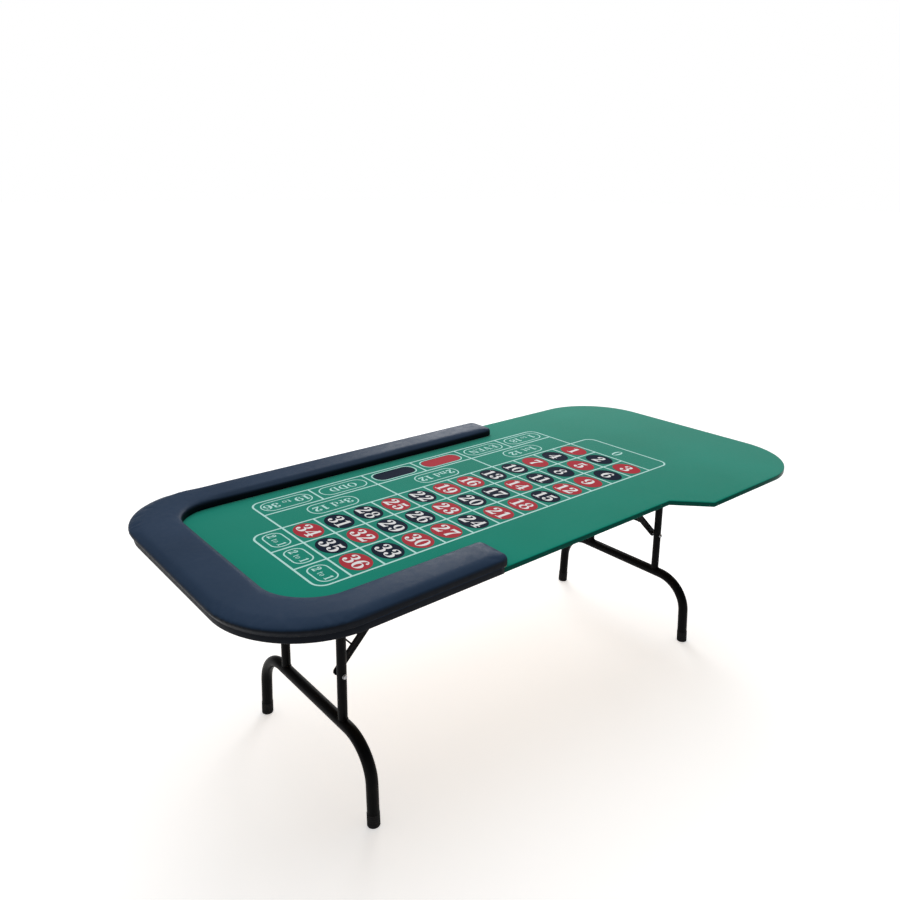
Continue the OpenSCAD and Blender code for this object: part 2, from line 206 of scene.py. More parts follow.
def cloth_material(name, dark, light, side):
    """Short-napped billiard-type cloth: fine crossed weave, fibre noise and sheen, and painted shade:
    upright faces take the darker side colour.
    """
    m = Nodes(name)
    broad = m.noise(2.2, 3.0)
    fibre = m.noise(1400.0, 2.0, 0.7)
    mixed = m.math("ADD", m.math("MULTIPLY", broad, 0.75), m.math("MULTIPLY", fibre, 0.25))
    top = m.ramp(mixed, [(0.3, dark), (0.7, light)])
    # Painted shade: faces that stand upright take the dark side colour, faces that look up take the
    # top's colours.
    m.set(Base_Color=m.blend(m.upward(0.2, 0.9), side, top), Roughness=0.9)
    warp, weft = (m.add("ShaderNodeTexWave", {"Vector": m.place, "Scale": 900.0, "Distortion": 0.6},
                        bands_direction=way).outputs["Fac"] for way in "XY")
    normal = m.bump(m.math("MAXIMUM", warp, weft), 0.18, 0.0002)
    m.set(Normal=m.bump(fibre, 0.25, 0.0003, normal))
    m.set(Sheen_Weight=0.85, Sheen_Roughness=0.29, Specular_IOR_Level=0.04)
    return m.material


def ink_material(name, color, vary=0.10):
    """Screen-printed ink: the colour breaks up a little where the fibres stand."""
    m = Nodes(name)
    fibre = m.noise(900.0, 3.0, 0.7)
    dark = tuple(c * (1 - vary) for c in color)
    m.set(Base_Color=m.ramp(fibre, [(0.35, dark), (0.65, color)]), Roughness=0.7)
    m.set(Normal=m.bump(fibre, 0.2, 0.0002), Specular_IOR_Level=0.04)
    return m.material


def vinyl_material():
    """Dark slate vinyl with a pebbled grain, painted lighter where it faces up and near black where it
    stands upright, as painted light and shade.
    """
    m = Nodes("armrest_vinyl")
    grain = m.voronoi(420.0, "DISTANCE_TO_EDGE")
    pebble = m.remap(grain, 0.0, 0.28, 0.0, 1.0)
    broad = m.noise(5.0, 4.0)
    painted_lit_top = m.ramp(broad, [(0.3, (0.019, 0.043, 0.088)), (0.7, (0.025, 0.052, 0.104))])
    # Painted light and shade: faces that look up take the lighter top colours, and upright and
    # downward faces take the near-black side colour.
    m.set(Base_Color=m.blend(m.upward(0.1, 0.95), (0.0012, 0.003, 0.007), painted_lit_top))
    m.set(Roughness=m.remap(m.noise(60.0, 4.0), 0.3, 0.7, 0.40, 0.52))
    normal = m.bump(pebble, 0.22, 0.0004)
    m.set(Normal=m.bump(m.noise(18.0, 3.0), 0.12, 0.003, normal), Specular_IOR_Level=0.08)
    return m.material


def enamel_material(name, color, rough=0.3):
    """Baked black enamel on tube, with a fine orange-peel skin and dust in the hollows."""
    m = Nodes(name)
    peel = m.noise(320.0, 3.0, 0.6)
    dust = m.noise(14.0, 6.0, 0.65)
    worn = tuple(c * 2.2 + 0.0015 for c in color)
    m.set(Base_Color=m.ramp(dust, [(0.45, color), (0.85, worn)]))
    m.set(Roughness=m.remap(dust, 0.3, 0.75, rough, rough + 0.16))
    m.set(Normal=m.bump(peel, 0.12, 0.0003), Specular_IOR_Level=0.05)
    return m.material


def zinc_material():
    """Bright zinc on screws, bolts and rivets, with turning marks and a few dull patches."""
    m = Nodes("zinc_steel")
    patch = m.noise(120.0, 4.0)
    m.set(Base_Color=m.ramp(patch, [(0.3, (0.30, 0.31, 0.33)), (0.7, (0.48, 0.49, 0.51))]),
          Metallic=1.0, Roughness=m.remap(patch, 0.3, 0.7, 0.28, 0.48))
    m.set(Normal=m.bump(m.noise(900.0, 2.0), 0.1, 0.0002))
    return m.material


def rubber_material():
    """Matt black rubber with a moulded pebble and scuffed lower edge."""
    m = Nodes("foot_rubber")
    pebble = m.noise(700.0, 3.0)
    scuff = m.noise(70.0, 5.0, 0.7)
    m.set(Base_Color=m.ramp(scuff, [(0.4, (0.004, 0.004, 0.0045)), (0.75, (0.011, 0.011, 0.011))]),
          Roughness=m.remap(scuff, 0.3, 0.7, 0.6, 0.8))
    m.set(Normal=m.bump(pebble, 0.2, 0.0004), Specular_IOR_Level=0.12)
    return m.material


def plywood_material():
    """Plywood underside: long grain along X, with darker rings and small knots."""
    m = Nodes("plywood")
    along = m.scaled((1.0, 14.0, 14.0))
    grain = m.noise(9.0, 8.0, 0.62, along)
    rings = m.add("ShaderNodeTexWave", {"Vector": m.scaled((0.6, 3.0, 3.0)), "Scale": 1.1,
                                        "Distortion": 14.0, "Detail": 3.0},
                  bands_direction="Y").outputs["Fac"]
    mixed = m.math("ADD", m.math("MULTIPLY", grain, 0.75), m.math("MULTIPLY", rings, 0.25))
    m.set(Base_Color=m.ramp(mixed, [(0.25, (0.30, 0.18, 0.09)), (0.55, (0.48, 0.33, 0.18)),
                                    (0.8, (0.60, 0.44, 0.27))]),
          Roughness=0.62, Normal=m.bump(grain, 0.25, 0.0006))
    return m.material


def foam_material():
    """Grey open-cell foam."""
    m = Nodes("foam")
    cell = m.voronoi(900.0)
    m.set(Base_Color=m.ramp(cell, [(0.1, (0.10, 0.10, 0.10)), (0.6, (0.26, 0.26, 0.26))]),
          Roughness=0.95, Normal=m.bump(cell, 0.5, 0.0006))
    return m.material


# The last colour is painted shade: the cloth's rounded edge and skirt are coloured far darker than its
# top.
felt = cloth_material("layout_cloth", (0.001, 0.250, 0.172), (0.003, 0.300, 0.215),
                      (0.001, 0.055, 0.040))
ink_line = ink_material("ink_line", (0.62, 0.96, 0.90))
ink_white = ink_material("ink_white", (0.96, 0.96, 0.96), 0.04)
ink_red = ink_material("ink_red", (0.52, 0.042, 0.060))
ink_dark = ink_material("ink_dark", (0.004, 0.012, 0.034))
vinyl = vinyl_material()
enamel = enamel_material("black_steel", (0.0016, 0.0016, 0.0020))
bracket_paint = enamel_material("bracket_steel", (0.004, 0.004, 0.0045), 0.38)
zinc = zinc_material()
rubber = rubber_material()
plywood = plywood_material()
foam = foam_material()
CAD_FINISH = {
    "plywood": plywood, "foam": foam, "layout_cloth": felt, "core_wood": plywood,
    "armrest_vinyl": vinyl, "foot_rubber": rubber, "zinc_steel": zinc,
    "bracket_steel": bracket_paint, "black_steel": enamel,
}


def finish_cad_nodes():
    """Gives every CAD node the material of its slot."""
    slots = {s["node"]: s["material_slot"] for s in frame["record"]["subparts"]}
    for name, piece in frame["nodes"].items():
        piece.data.materials.clear()
        piece.data.materials.append(CAD_FINISH[slots[name]])


def dress(piece, material, body="table_top"):
    """Gives a piece its material and the body it rides on."""
    piece.data.materials.clear()
    piece.data.materials.append(material)
    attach(piece, body)
    return piece


# ---- The layout cloth ----
def cloth_outline(inset, steps=28):
    """The cloth's edge in plan, moved in by inset, counter-clockwise from the step."""
    slant = inset * (math.sqrt(2) - 1)
    wide_y = cloth_lo.y
    points = [(NOTCH_X + slant, near_y + inset), (NOTCH_X + NOTCH_D + slant, wide_y + inset)]
    for x, y, r, start in ((right_x - CORNER_R, wide_y + CORNER_R, CORNER_R, -90),
                           (right_x - CORNER_R, far_y - CORNER_R, CORNER_R, 0),
                           (left_x + FAR_LEFT_R, far_y - FAR_LEFT_R, FAR_LEFT_R, 90),
                           (left_x + CORNER_R, near_y + CORNER_R, CORNER_R, 180)):
        points += arc(x, y, r - inset, start, start + 90, steps)
    return points


def make_cloth():
    """The cloth as one sheet: the top, a rounded edge, the skirt and the turn under the board."""
    edge_r, fold_r, turn_in = 3 * MM, 1.5 * MM, 30 * MM
    rings = [(edge_r + 12 * MM, felt_z)]
    for i in range(5):
        a = math.radians(90 - 22.5 * i)
        rings.append((edge_r - edge_r * math.cos(a), felt_z - edge_r + edge_r * math.sin(a)))
    low = cloth_lo.z
    rings.append((0.0, (felt_z + low) / 2))
    for i in range(3):
        a = math.radians(45 * i)
        rings.append((fold_r * (1 - math.cos(a)), low + fold_r * (1 - math.sin(a))))
    rings.append((turn_in, low))
    verts = [(x, y, z) for inset, z in rings for x, y in cloth_outline(inset)]
    n = len(verts) // len(rings)
    faces = [list(range(n))] + bands(len(rings), n, caps=False)
    piece = add_mesh("layout_cloth_sheet", verts, faces, smooth=True)
    recalc(piece)
    dress(piece, felt)
    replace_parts(piece, "layout_cloth")


finish_cad_nodes()
make_cloth()

# ---- The printed layout ----
CELL = (102.3 * MM, 122.8 * MM)
GRID = (left_x + 351.5 * MM, near_y + 207 * MM)
STREETS, ROWS = 12, 3
DOZEN_V, OUTSIDE_V = 3.894, 4.711
ZERO_U, COLUMN_U = 13.07, -0.97
LINE, THIN_LINE = 6.2 * MM, 4.2 * MM
BOX_R = 34 * MM
DISC_R = (41 * MM, 52.5 * MM)
PILL_WIDE, PILL_HIGH = 168 * MM, 0.60
RED = {1, 3, 5, 7, 9, 12, 14, 16, 18, 19, 21, 23, 25, 27, 30, 32, 34, 36}
INK_T = 0.12 * MM
ON_CLOTH, ON_INK = 0.15 * MM, 0.30 * MM
NUMBER_TEXT, ZERO_TEXT, BET_TEXT, SMALL_TEXT = 48 * MM, 50 * MM, 34 * MM, 24 * MM
COLUMN_TEXT, SMALL_COLUMN_TEXT = 26 * MM, 20 * MM


def at(u, v):
    """The place on the cloth of a point counted in number boxes from the grid's corner."""
    return GRID[0] + u * CELL[0], GRID[1] + v * CELL[1]


def box_points(low, high, radii, steps=8):
    """A box with its own corner radius at each corner, from the low corner round."""
    (x0, y0), (x1, y1) = low, high
    signs = ((x0, y0, 1, 1, 180), (x1, y0, -1, 1, 270), (x1, y1, -1, -1, 0), (x0, y1, 1, -1, 90))
    points = []
    for (x, y, sx, sy, start), r in zip(signs, radii):
        points += arc(x + sx * r, y + sy * r, r, start, start + 90, steps) if r else [(x, y)]
    return points


def path_quads(points, widths, closed=False):
    """The quads of a line with mitred corners and its own width at each point."""
    kept = [i for i, p in enumerate(points)
            if (i == 0 and not closed) or math.dist(p, points[i - 1]) > 1e-5]
    points, widths = [points[i] for i in kept], [widths[i] for i in kept]
    n = len(points)
    sides = []
    for i, p in enumerate(points):
        before = points[i - 1] if i or closed else None
        after = points[(i + 1) % n] if i < n - 1 or closed else None
        ways = [(Vector(b) - Vector(a)).normalized() for a, b in ((before, p), (p, after))
                if a is not None and b is not None]
        way = sum(ways, Vector((0, 0))).normalized()
        side = Vector((-way.y, way.x))
        half = widths[i] / 2 / max(0.5, side.dot(Vector((-ways[0].y, ways[0].x))))
        sides.append((tuple(Vector(p) + side * half), tuple(Vector(p) - side * half)))
    quads = []
    for i in range(n if closed else n - 1):
        (a, b), (d, c) = sides[i], sides[(i + 1) % n]
        quads.append([a, b, c, d])
    return quads


class Print:
    """Flat printed shapes, joined into one closed piece a hair above the cloth."""

    def __init__(self, name, level):
        self.name, self.z, self.shapes = name, felt_z + level, []

    def fill(self, points):
        self.shapes.append([tuple(p) for p in points])

    def line(self, points, width, closed=False):
        self.shapes += path_quads(points, [width] * len(points), closed)

    def done(self, material):
        verts, triangles = joined(self.shapes)
        n = len(verts)
        edges = {}
        for t in triangles:
            for a, b in zip(t, t[1:] + t[:1]):
                edges[(a, b)] = edges.get((a, b), 0) + 1
        faces = [list(t) for t in triangles] + [[n + i for i in reversed(t)] for t in triangles]
        faces += [[b, a, n + a, n + b] for a, b in edges if (b, a) not in edges]
        points = [(x, y, self.z + INK_T) for x, y in verts] + [(x, y, self.z) for x, y in verts]
        return dress(add_mesh(self.name, points, faces), material)


def inside(p, shape):
    """Whether a point lies inside a flat outline."""
    hit = False
    for (x0, y0), (x1, y1) in zip(shape, shape[1:] + shape[:1]):
        if (y0 > p[1]) != (y1 > p[1]) and p[0] < x0 + (p[1] - y0) * (x1 - x0) / (y1 - y0):
            hit = not hit
    return hit


def joined(shapes, square=20 * MM):
    """The union of flat shapes as points and triangles that turn counter-clockwise."""
    verts, rings, near = [], [], {}
    for shape in shapes:
        shape = [p for i, p in enumerate(shape) if math.dist(p, shape[i - 1]) > 1e-6]
        rings.append(list(range(len(verts), len(verts) + len(shape))))
        verts += [Vector(p) for p in shape]
        (x0, y0), (x1, y1) = (tuple(int(f(p[k] for p in shape) // square) for k in (0, 1))
                              for f in (min, max))
        for cell in ((x, y) for x in range(x0, x1 + 1) for y in range(y0, y1 + 1)):
            near.setdefault(cell, []).append(shape)
    points, _, faces, *_ = delaunay_2d_cdt(verts, [], rings, 1, 1e-6, False)
    triangles = []
    for face in faces:
        a, b, c = (points[i] for i in face)
        turn = (b - a).cross(c - a)
        mid = (a + b + c) / 3
        cell = (int(mid.x // square), int(mid.y // square))
        if abs(turn) > 1e-12 and any(inside(mid, shape) for shape in near.get(cell, ())):
            triangles.append(list(face) if turn > 0 else list(face)[::-1])
    return points, triangles


def bezel(cx, cy, rx, ry, tx, ty, start=0, end=360, steps=28):
    """An oval stroke, tx thick at its sides and ty at its top, as quads."""
    outer, inner = [], []
    for i in range(steps + 1):
        a = math.radians(start + (end - start) * i / steps)
        outer.append((cx + rx * math.cos(a), cy + ry * math.sin(a)))
        inner.append((cx + (rx - tx) * math.cos(a), cy + (ry - ty) * math.sin(a)))
    return [[outer[i], outer[i + 1], inner[i + 1], inner[i]] for i in range(steps)]


def brush(*keys, steps=6):
    """A swelling stroke through (x, y, width) keys, smoothed between them."""
    rows = [Vector(k) for k in keys]
    rows = [2 * rows[0] - rows[1]] + rows + [2 * rows[-1] - rows[-2]]
    points = []
    for a, b, c, d in zip(rows, rows[1:], rows[2:], rows[3:]):
        for i in range(steps):
            t = i / steps
            points.append(0.5 * (2 * b + (c - a) * t + (2 * a - 5 * b + 4 * c - d) * t * t
                                 + (3 * b - a - 3 * c + d) * t ** 3))
    points.append(rows[-2])
    return path_quads([(p.x, p.y) for p in points], [p.z for p in points])


def bar(x0, y0, x1, y1):
    """An upright rectangle."""
    return [[(x0, y0), (x1, y0), (x1, y1), (x0, y1)]]


def ball(cx, cy, r):
    """The round end of a stroke."""
    return [[(cx + r * math.cos(math.radians(a)), cy + r * math.sin(math.radians(a)))
             for a in range(0, 360, 24)]]


def make_glyphs():
    """The layout's fat-face signs: (width, shapes), in hundredths of a sign's height."""
    six = (brush((60, 84, 5), (50, 95.5, 7), (38, 95.5, 8), (22, 84, 16), (12.5, 60, 22),
                 (12.5, 34, 22))
           + ball(56.5, 81, 8.5) + bezel(37, 31.5, 33.5, 31.5, 20, 4.5))
    nine = [[(74 - x, 100 - y) for x, y in shape] for shape in six]
    return {
        "0": (74, bezel(37, 50, 35, 50, 20, 5)),
        "1": (56, bar(20, 0, 41, 100) + bar(4, 0, 56, 6.5)
              + [[(5, 80), (20, 84), (20, 100), (16, 93), (5, 88)]]),
        "2": (74, ball(17.5, 75.5, 11.5)
              + brush((8.5, 76, 6), (17, 92.5, 8), (36, 96, 8), (53.5, 86, 19), (53, 66, 22),
                      (38, 44, 15), (18, 22, 9), (9, 7, 10))
              + [[(4, 0), (62, 0), (70, 30), (64, 30), (56, 18), (28, 21), (12, 15), (4, 8)]]),
        "3": (72, ball(17.5, 77.5, 10.5) + ball(16, 22.5, 12)
              + brush((9, 79, 6), (19, 93, 7), (37, 96.5, 7), (53, 86, 18), (52, 66, 18),
                      (40, 54.5, 8), (26, 53, 5.5))
              + brush((26, 53, 5.5), (44, 50, 9), (57.5, 35, 21), (56, 15, 20), (37, 3.5, 7),
                      (18, 7, 7), (6.5, 22, 6))),
        "4": (78, bar(40, 0, 60, 100) + bar(28, 0, 72, 6.5) + bar(2, 25, 74, 33)
              + path_quads([(52, 97), (5, 29)], [7.5, 7.5])),
        "5": (72, [[(13, 78), (56, 80), (64, 102), (36, 97), (13, 100)]] + bar(13, 46, 19, 98)
              + ball(16.5, 21.5, 11.5)
              + brush((16, 49, 5), (30, 60, 9), (47, 58, 14), (57.5, 36, 22), (53, 14, 20),
                      (36, 3.5, 7), (18, 7, 7), (7.5, 21, 6))),
        "6": (74, six),
        "7": (68, [[(5, 70), (10, 70), (16, 80), (58, 79), (66, 94), (66, 100), (5, 100)]]
              + brush((62, 93, 8), (47, 66, 10), (35, 36, 19), (32, 2, 25))),
        "8": (74, bezel(37, 75.5, 27.5, 24.5, 15.5, 4.5) + bezel(37, 27.5, 34.5, 27.5, 18.5, 4.5)),
        "9": (74, nine),
        "O": (92, bezel(46, 50, 43, 50, 20, 6)),
        "D": (88, bar(10, 0, 29, 100) + bar(2, 0, 42, 6.5) + bar(2, 93.5, 42, 100)
              + bezel(36, 50, 48, 50, 20, 6.5, -90, 90)),
        "E": (78, bar(10, 0, 29, 100) + bar(2, 0, 70, 7) + bar(2, 93, 68, 100)
              + bar(62, 72, 68, 100) + bar(64, 0, 70, 29) + bar(29, 46.5, 50, 53)
              + bar(45, 36, 51, 64)),
        "V": (92, [[(9, 100), (31, 100), (53, 30), (53, 0), (42, 0)], [(74, 100), (80, 100),
                    (53, 0), (44, 0)]]
              + bar(0, 93.5, 40, 100) + bar(63, 93.5, 92, 100)),
        "N": (96, bar(12, 0, 19, 100) + bar(74, 0, 81, 100)
              + [[(4, 100), (32, 100), (81, 16), (81, 0), (70, 0), (12, 92)]] + bar(2, 0, 30, 6.5)
              + bar(62, 93.5, 92, 100)),
        "t": (44, bar(10, 12, 25, 82) + bar(0, 58, 38, 64.5)
              + brush((17.5, 16, 15), (22, 5, 12), (33, 4, 7), (41, 12, 4))),
        "o": (58, bezel(28, 32.5, 27, 32.5, 13.5, 4.5)),
        "r": (50, bar(8, 0, 23, 64) + bar(0, 0, 33, 5.5) + bar(0, 58.5, 23, 64)
              + brush((20, 48, 5), (28, 59, 7), (38, 61, 8)) + ball(41, 54.5, 8.5)),
        "d": (60, bezel(27, 31.5, 26, 32.5, 13.5, 4.5) + bar(40, 0, 55, 100)
              + bar(30, 93.5, 55, 100) + bar(40, 0, 62, 5.5)),
        "n": (68, bar(7, 0, 22, 64) + bar(0, 0, 30, 5.5) + bar(0, 58.5, 22, 64)
              + brush((20, 47, 4), (32, 60, 7), (45, 58, 12), (50.5, 42, 15), (50.5, 2, 15))
              + bar(36, 0, 66, 5.5)),
        "s": (46, brush((36, 50, 4), (27, 61.5, 6), (13, 57, 10), (13, 43, 12), (31, 29, 13),
                        (33, 12, 11), (20, 3, 6), (6, 14, 4))
              + bar(34.5, 44, 38.5, 64) + bar(4, 0, 8, 21)),
        " ": (30, []),
    }


GLYPHS = {sign: (width / 100, [[(x / 100, y / 100) for x, y in shape] for shape in shapes])
          for sign, (width, shapes) in make_glyphs().items()}
TO_WHEEL = (Vector((0, -1)), Vector((1, 0)))     # reading way and up way of the numbers
TO_PLAYER = (Vector((-1, 0)), Vector((0, -1)))   # and of the outside bets


def letter(ink, text, centre, height, way, stretch=1.0, small=None):
    """Prints text centred at a place; small gives the height of the words after a ~ mark."""
    runs, size = [], height
    for sign in text:
        if sign == "~":
            size = small if size == height else height
            continue
        runs.append((sign, size))
    gap = 0.07 * height
    total = sum(GLYPHS[c][0] * h * stretch + gap for c, h in runs) - gap
    place = -total / 2
    for sign, size in runs:
        width, shapes = GLYPHS[sign]
        for shape in shapes:
            ink.fill([tuple(Vector(centre) + way[0] * (place + x * size * stretch)
                            + way[1] * (y * size - height / 2)) for x, y in shape])
        place += width * size * stretch + gap


def pill(centre, wide, high, r, along_x=True):
    """A box with round ends or corners about a place."""
    hx, hy = (wide / 2, high / 2) if along_x else (high / 2, wide / 2)
    return box_points((centre[0] - hx, centre[1] - hy), (centre[0] + hx, centre[1] + hy), [r] * 4)


def number_at(street, row):
    """Streets run from 36 at the left to 1 at the right; the near row has the highest."""
    return ROWS * (STREETS - street) - row


def print_lines():
    """The grid of the numbers, the zero, the dozens and the outside bets."""
    ink = Print("print_lines", ON_CLOTH)
    for u in range(STREETS + 1):
        ink.line([at(u, 0), at(u, ROWS)], LINE)
    for v in (1, 2):
        ink.line([at(COLUMN_U, v), at(STREETS, v)], LINE)
    ink.line(box_points(at(COLUMN_U, 0), at(0, ROWS), [BOX_R, 0, 0, BOX_R]), LINE, True)
    ink.line(box_points(at(STREETS, 0), at(ZERO_U, ROWS), [0, BOX_R, BOX_R, 0]), LINE, True)
    ink.line(box_points(at(0, 0), at(STREETS, ROWS), [0] * 4), LINE, True)
    for u in (0, 4, 8, 12):
        ink.line([at(u, ROWS), at(u, DOZEN_V)], LINE)
    for u in (2, 4, 6, 8, 10):
        ink.line([at(u, DOZEN_V), at(u, OUTSIDE_V)], LINE)
    ink.line(box_points(at(0, DOZEN_V), at(STREETS, OUTSIDE_V), [0, 0, BOX_R, BOX_R]), LINE, True)
    return ink


def print_bets(lines):
    """The pills and their words, in the line ink, and the two colour bets."""
    column_wide, column_high = 0.74 * CELL[1], 0.56 * CELL[0]
    for row in range(ROWS):
        centre = at(COLUMN_U / 2, row + 0.5)
        lines.line(pill(centre, column_wide, column_high, 24 * MM, False), THIN_LINE, True)
        letter(lines, "2~ to ~1", centre, COLUMN_TEXT, TO_WHEEL, 1.0, SMALL_COLUMN_TEXT)
    dozen_v = (ROWS + DOZEN_V) / 2
    high = PILL_HIGH * CELL[1] * (DOZEN_V - ROWS)
    for u, text in ((2, "3rd 12"), (6, "2nd 12"), (10, "1st 12")):
        lines.line(pill(at(u, dozen_v), PILL_WIDE, high + 6 * MM, high / 2), THIN_LINE, True)
        letter(lines, text, at(u, dozen_v), BET_TEXT, TO_PLAYER, 1.1)
    outside_v = (DOZEN_V + OUTSIDE_V) / 2
    for u, text in ((1, "19~ to ~36"), (3, "ODD"), (9, "EVEN"), (11, "1~ to ~18")):
        lines.line(pill(at(u, outside_v), PILL_WIDE, high + 2 * MM, high / 2), THIN_LINE, True)
        letter(lines, text, at(u, outside_v), BET_TEXT, TO_PLAYER, 1.05, SMALL_TEXT)
    letter(lines, "0", at(STREETS + 0.5, ROWS / 2), ZERO_TEXT, TO_WHEEL, 0.85)
    for u, name, ink in ((5, "print_black_bet", ink_dark), (7, "print_red_bet", ink_red)):
        lines.line(pill(at(u, outside_v), PILL_WIDE, high + 6 * MM, high / 2), THIN_LINE, True)
        bet = Print(name, ON_CLOTH)
        bet.fill(pill(at(u, outside_v), PILL_WIDE - 9 * MM, high - 3 * MM, high / 2 - 4 * MM))
        bet.done(ink)


def print_numbers():
    """The red and dark discs with their numbers."""
    discs = {True: Print("print_red_discs", ON_CLOTH), False: Print("print_dark_discs", ON_CLOTH)}
    digits = Print("print_digits", ON_INK)
    for street in range(STREETS):
        for row in range(ROWS):
            number = number_at(street, row)
            cx, cy = at(street + 0.5, row + 0.5)
            discs[number in RED].fill([(cx + DISC_R[0] * math.cos(math.radians(a)),
                                        cy + DISC_R[1] * math.sin(math.radians(a)))
                                       for a in range(0, 360, 5)])
            letter(digits, str(number), (cx, cy), NUMBER_TEXT, TO_WHEEL, 1.12)
    discs[True].done(ink_red)
    discs[False].done(ink_dark)
    digits.done(ink_white)


line_ink = print_lines()
print_bets(line_ink)
line_ink.done(ink_line)
print_numbers()


# ---- The armrest ----
RAIL_W = 120 * MM
END_R = 24 * MM
FAR_END, NEAR_END = 350 * MM, -358 * MM                     # ends of the two arms along X
HALF = (RAIL_W + VINYL) / 2
MID = (RAIL_W - VINYL) / 2
OUTER_EDGE_R, INNER_EDGE_R = 14 * MM, 12 * MM
CROWN = 2.5 * MM
BULGE_OUT, BULGE_IN = 13 * MM, 11 * MM
PAD_LOW = felt_z + 0.2 * MM
PRESSED = 4 * MM                                            # the pad starts this much too low
HELD_LOW, HELD_HIGH = felt_z + 17 * MM, felt_z + 24 * MM    # held below, free to swell above
FULL_FROM, FULL_OVER = left_x + 300 * MM, 220 * MM          # where the closed end gets fuller


def u_path(inset, far_end, near_end, step):
    """Points and inward ways along the armrest's U, inset from the cloth's edge."""
    far_c, near_c = left_x + FAR_LEFT_R, left_x + CORNER_R
    legs = [((far_end, far_y - inset), (far_c, far_y - inset), (0, -1)),
            (far_c, far_y - FAR_LEFT_R, FAR_LEFT_R - inset, 90),
            ((left_x + inset, far_y - FAR_LEFT_R), (left_x + inset, near_y + CORNER_R), (1, 0)),
            (near_c, near_y + CORNER_R, CORNER_R - inset, 180),
            ((near_c, near_y + inset), (near_end, near_y + inset), (0, 1))]
    points = []
    for leg in legs:
        if len(leg) == 3:
            a, b = Vector(leg[0]), Vector(leg[1])
            n = max(1, round((b - a).length / step))
            points += [(a.lerp(b, i / n), Vector(leg[2])) for i in range(n)]
        else:
            n = round(math.pi / 2 * leg[2] / step)
            for i in range(n):
                a = math.radians(leg[3] + 90 * i / n)
                out = Vector((math.cos(a), math.sin(a)))
                points.append((Vector(leg[:2]) + out * leg[2], -out))
    points.append((Vector(legs[-1][1]), Vector(legs[-1][2])))
    return points


def pad_stations(step=9 * MM):
    """Places along the pad's middle with their inward way and distance to the nearer end."""
    points = u_path(MID, FAR_END, NEAR_END, step)
    run = [0.0]
    for (a, _), (b, _) in zip(points, points[1:]):
        run.append(run[-1] + (b - a).length)
    close = [d * MM for d in (0, 0.4, 1.2, 2.5, 4, 6, 8.5, 11.5, 15, 19)]   # rings in a round end
    ends = [[(place - Vector((d, 0)), inward, d) for d in close]
            for place, inward in (points[0], points[-1])]
    middle = [(p, inward, min(s, run[-1] - s)) for (p, inward), s in zip(points, run)
              if min(s, run[-1] - s) > END_R]
    return ends[0] + middle + ends[1][::-1]


def pad_top(e, c, top):
    """The pad's height where it is e from its end and c inwards from its middle."""
    over_e, over_c = END_R - e, abs(c) - (HALF - END_R)
    depth = END_R - math.hypot(over_e, over_c) if over_e > 0 and over_c > 0 \
        else min(e, HALF - abs(c))
    share = min(1, max(0, c / HALF * 0.5 + 0.5))
    edge_r = OUTER_EDGE_R + (INNER_EDGE_R - OUTER_EDGE_R) * share
    low = top - CROWN
    if depth < edge_r:
        return low - edge_r + math.sqrt(max(0.0, edge_r ** 2 - (edge_r - depth) ** 2))
    return low + CROWN * math.sin(math.pi / 2 * min(1, (depth - edge_r) / (HALF - edge_r)))


def end_share(x):
    """1 along the closed end, where the pad is fuller and hangs over, 0 along the arms."""
    t = min(1.0, max(0.0, (FULL_FROM - x) / FULL_OVER))
    return t * t * (3 - 2 * t)


def pad_mesh(name, top):
    """The armrest's pad as one closed form that lies on the cloth."""
    cross = [1, 0.985, 0.96, 0.92, 0.86, 0.78, 0.66, 0.5, 0.3, 0.1]    # shares of the half width
    cross = [-c for c in cross] + cross[::-1]
    low, wall, under = PAD_LOW - PRESSED, 4, 8
    rings = []
    for place, inward, e in pad_stations():
        pull = max(0, END_R - e)
        half = HALF - END_R + math.sqrt(END_R ** 2 - pull ** 2)
        full = end_share(place.x)
        ring = []
        for q in cross:
            bulge = q * full * (BULGE_IN if q > 0 else BULGE_OUT)
            p = place + inward * (q * half + bulge)
            ring.append((p.x, p.y, pad_top(e, q * half, top)))
        first, last = Vector(ring[0]), Vector(ring[-1])
        foot_in, under_edge = Vector((last.x, last.y, low)), place - inward * half
        foot_out = Vector((under_edge.x, under_edge.y, low))
        ring += [last.lerp(foot_in, k / wall) for k in range(1, wall + 1)]
        ring += [foot_in.lerp(foot_out, k / under) for k in range(1, under)]
        ring += [foot_out.lerp(first, k / wall) for k in range(wall)]
        rings.append(ring)
    piece = add_mesh(name, [v for ring in rings for v in ring], bands(len(rings), len(rings[0])),
                     smooth=True)
    recalc(piece)
    return piece


def make_skirt():
    """The vinyl that hangs from the pad over the board's edge and turns under it."""
    hem = 24 * MM
    low = cloth_lo.z
    tuck = VINYL - 0.6 * MM
    outer = [(tuck, felt_z + 3 * MM), (tuck, felt_z), (VINYL, felt_z - 4 * MM),
             (VINYL, low + 1 * MM), (VINYL - 0.5 * MM, low - 0.6 * MM),
             (VINYL - 1.6 * MM, low - 1.4 * MM), (-hem * 0.3, low - 1.5 * MM), (-hem, low - 1.2 * MM)]
    inner = [(-hem, low - 0.2 * MM), (-hem * 0.3, low - 0.3 * MM), (-0.8 * MM, low - 0.3 * MM),
             (0.1 * MM, low + 0.4 * MM), (0.1 * MM, felt_z - 4 * MM), (0.1 * MM, felt_z + 3 * MM)]
    profile = outer + inner
    stations = u_path(0, FAR_END - END_R, NEAR_END - END_R, 12 * MM)
    verts = []
    for i, (place, inward) in enumerate(stations):
        wave = 1.6 * MM * noise.noise(Vector((i * 0.31, 0, 0)))
        for out, z in profile:
            shift = out + (wave if out <= -hem + 1e-6 else 0)
            p = place - inward * shift
            verts.append((p.x, p.y, z))
    piece = add_mesh("armrest_skirt", verts, bands(len(stations), len(profile)), smooth=True)
    recalc(piece)
    dress(piece, vinyl)


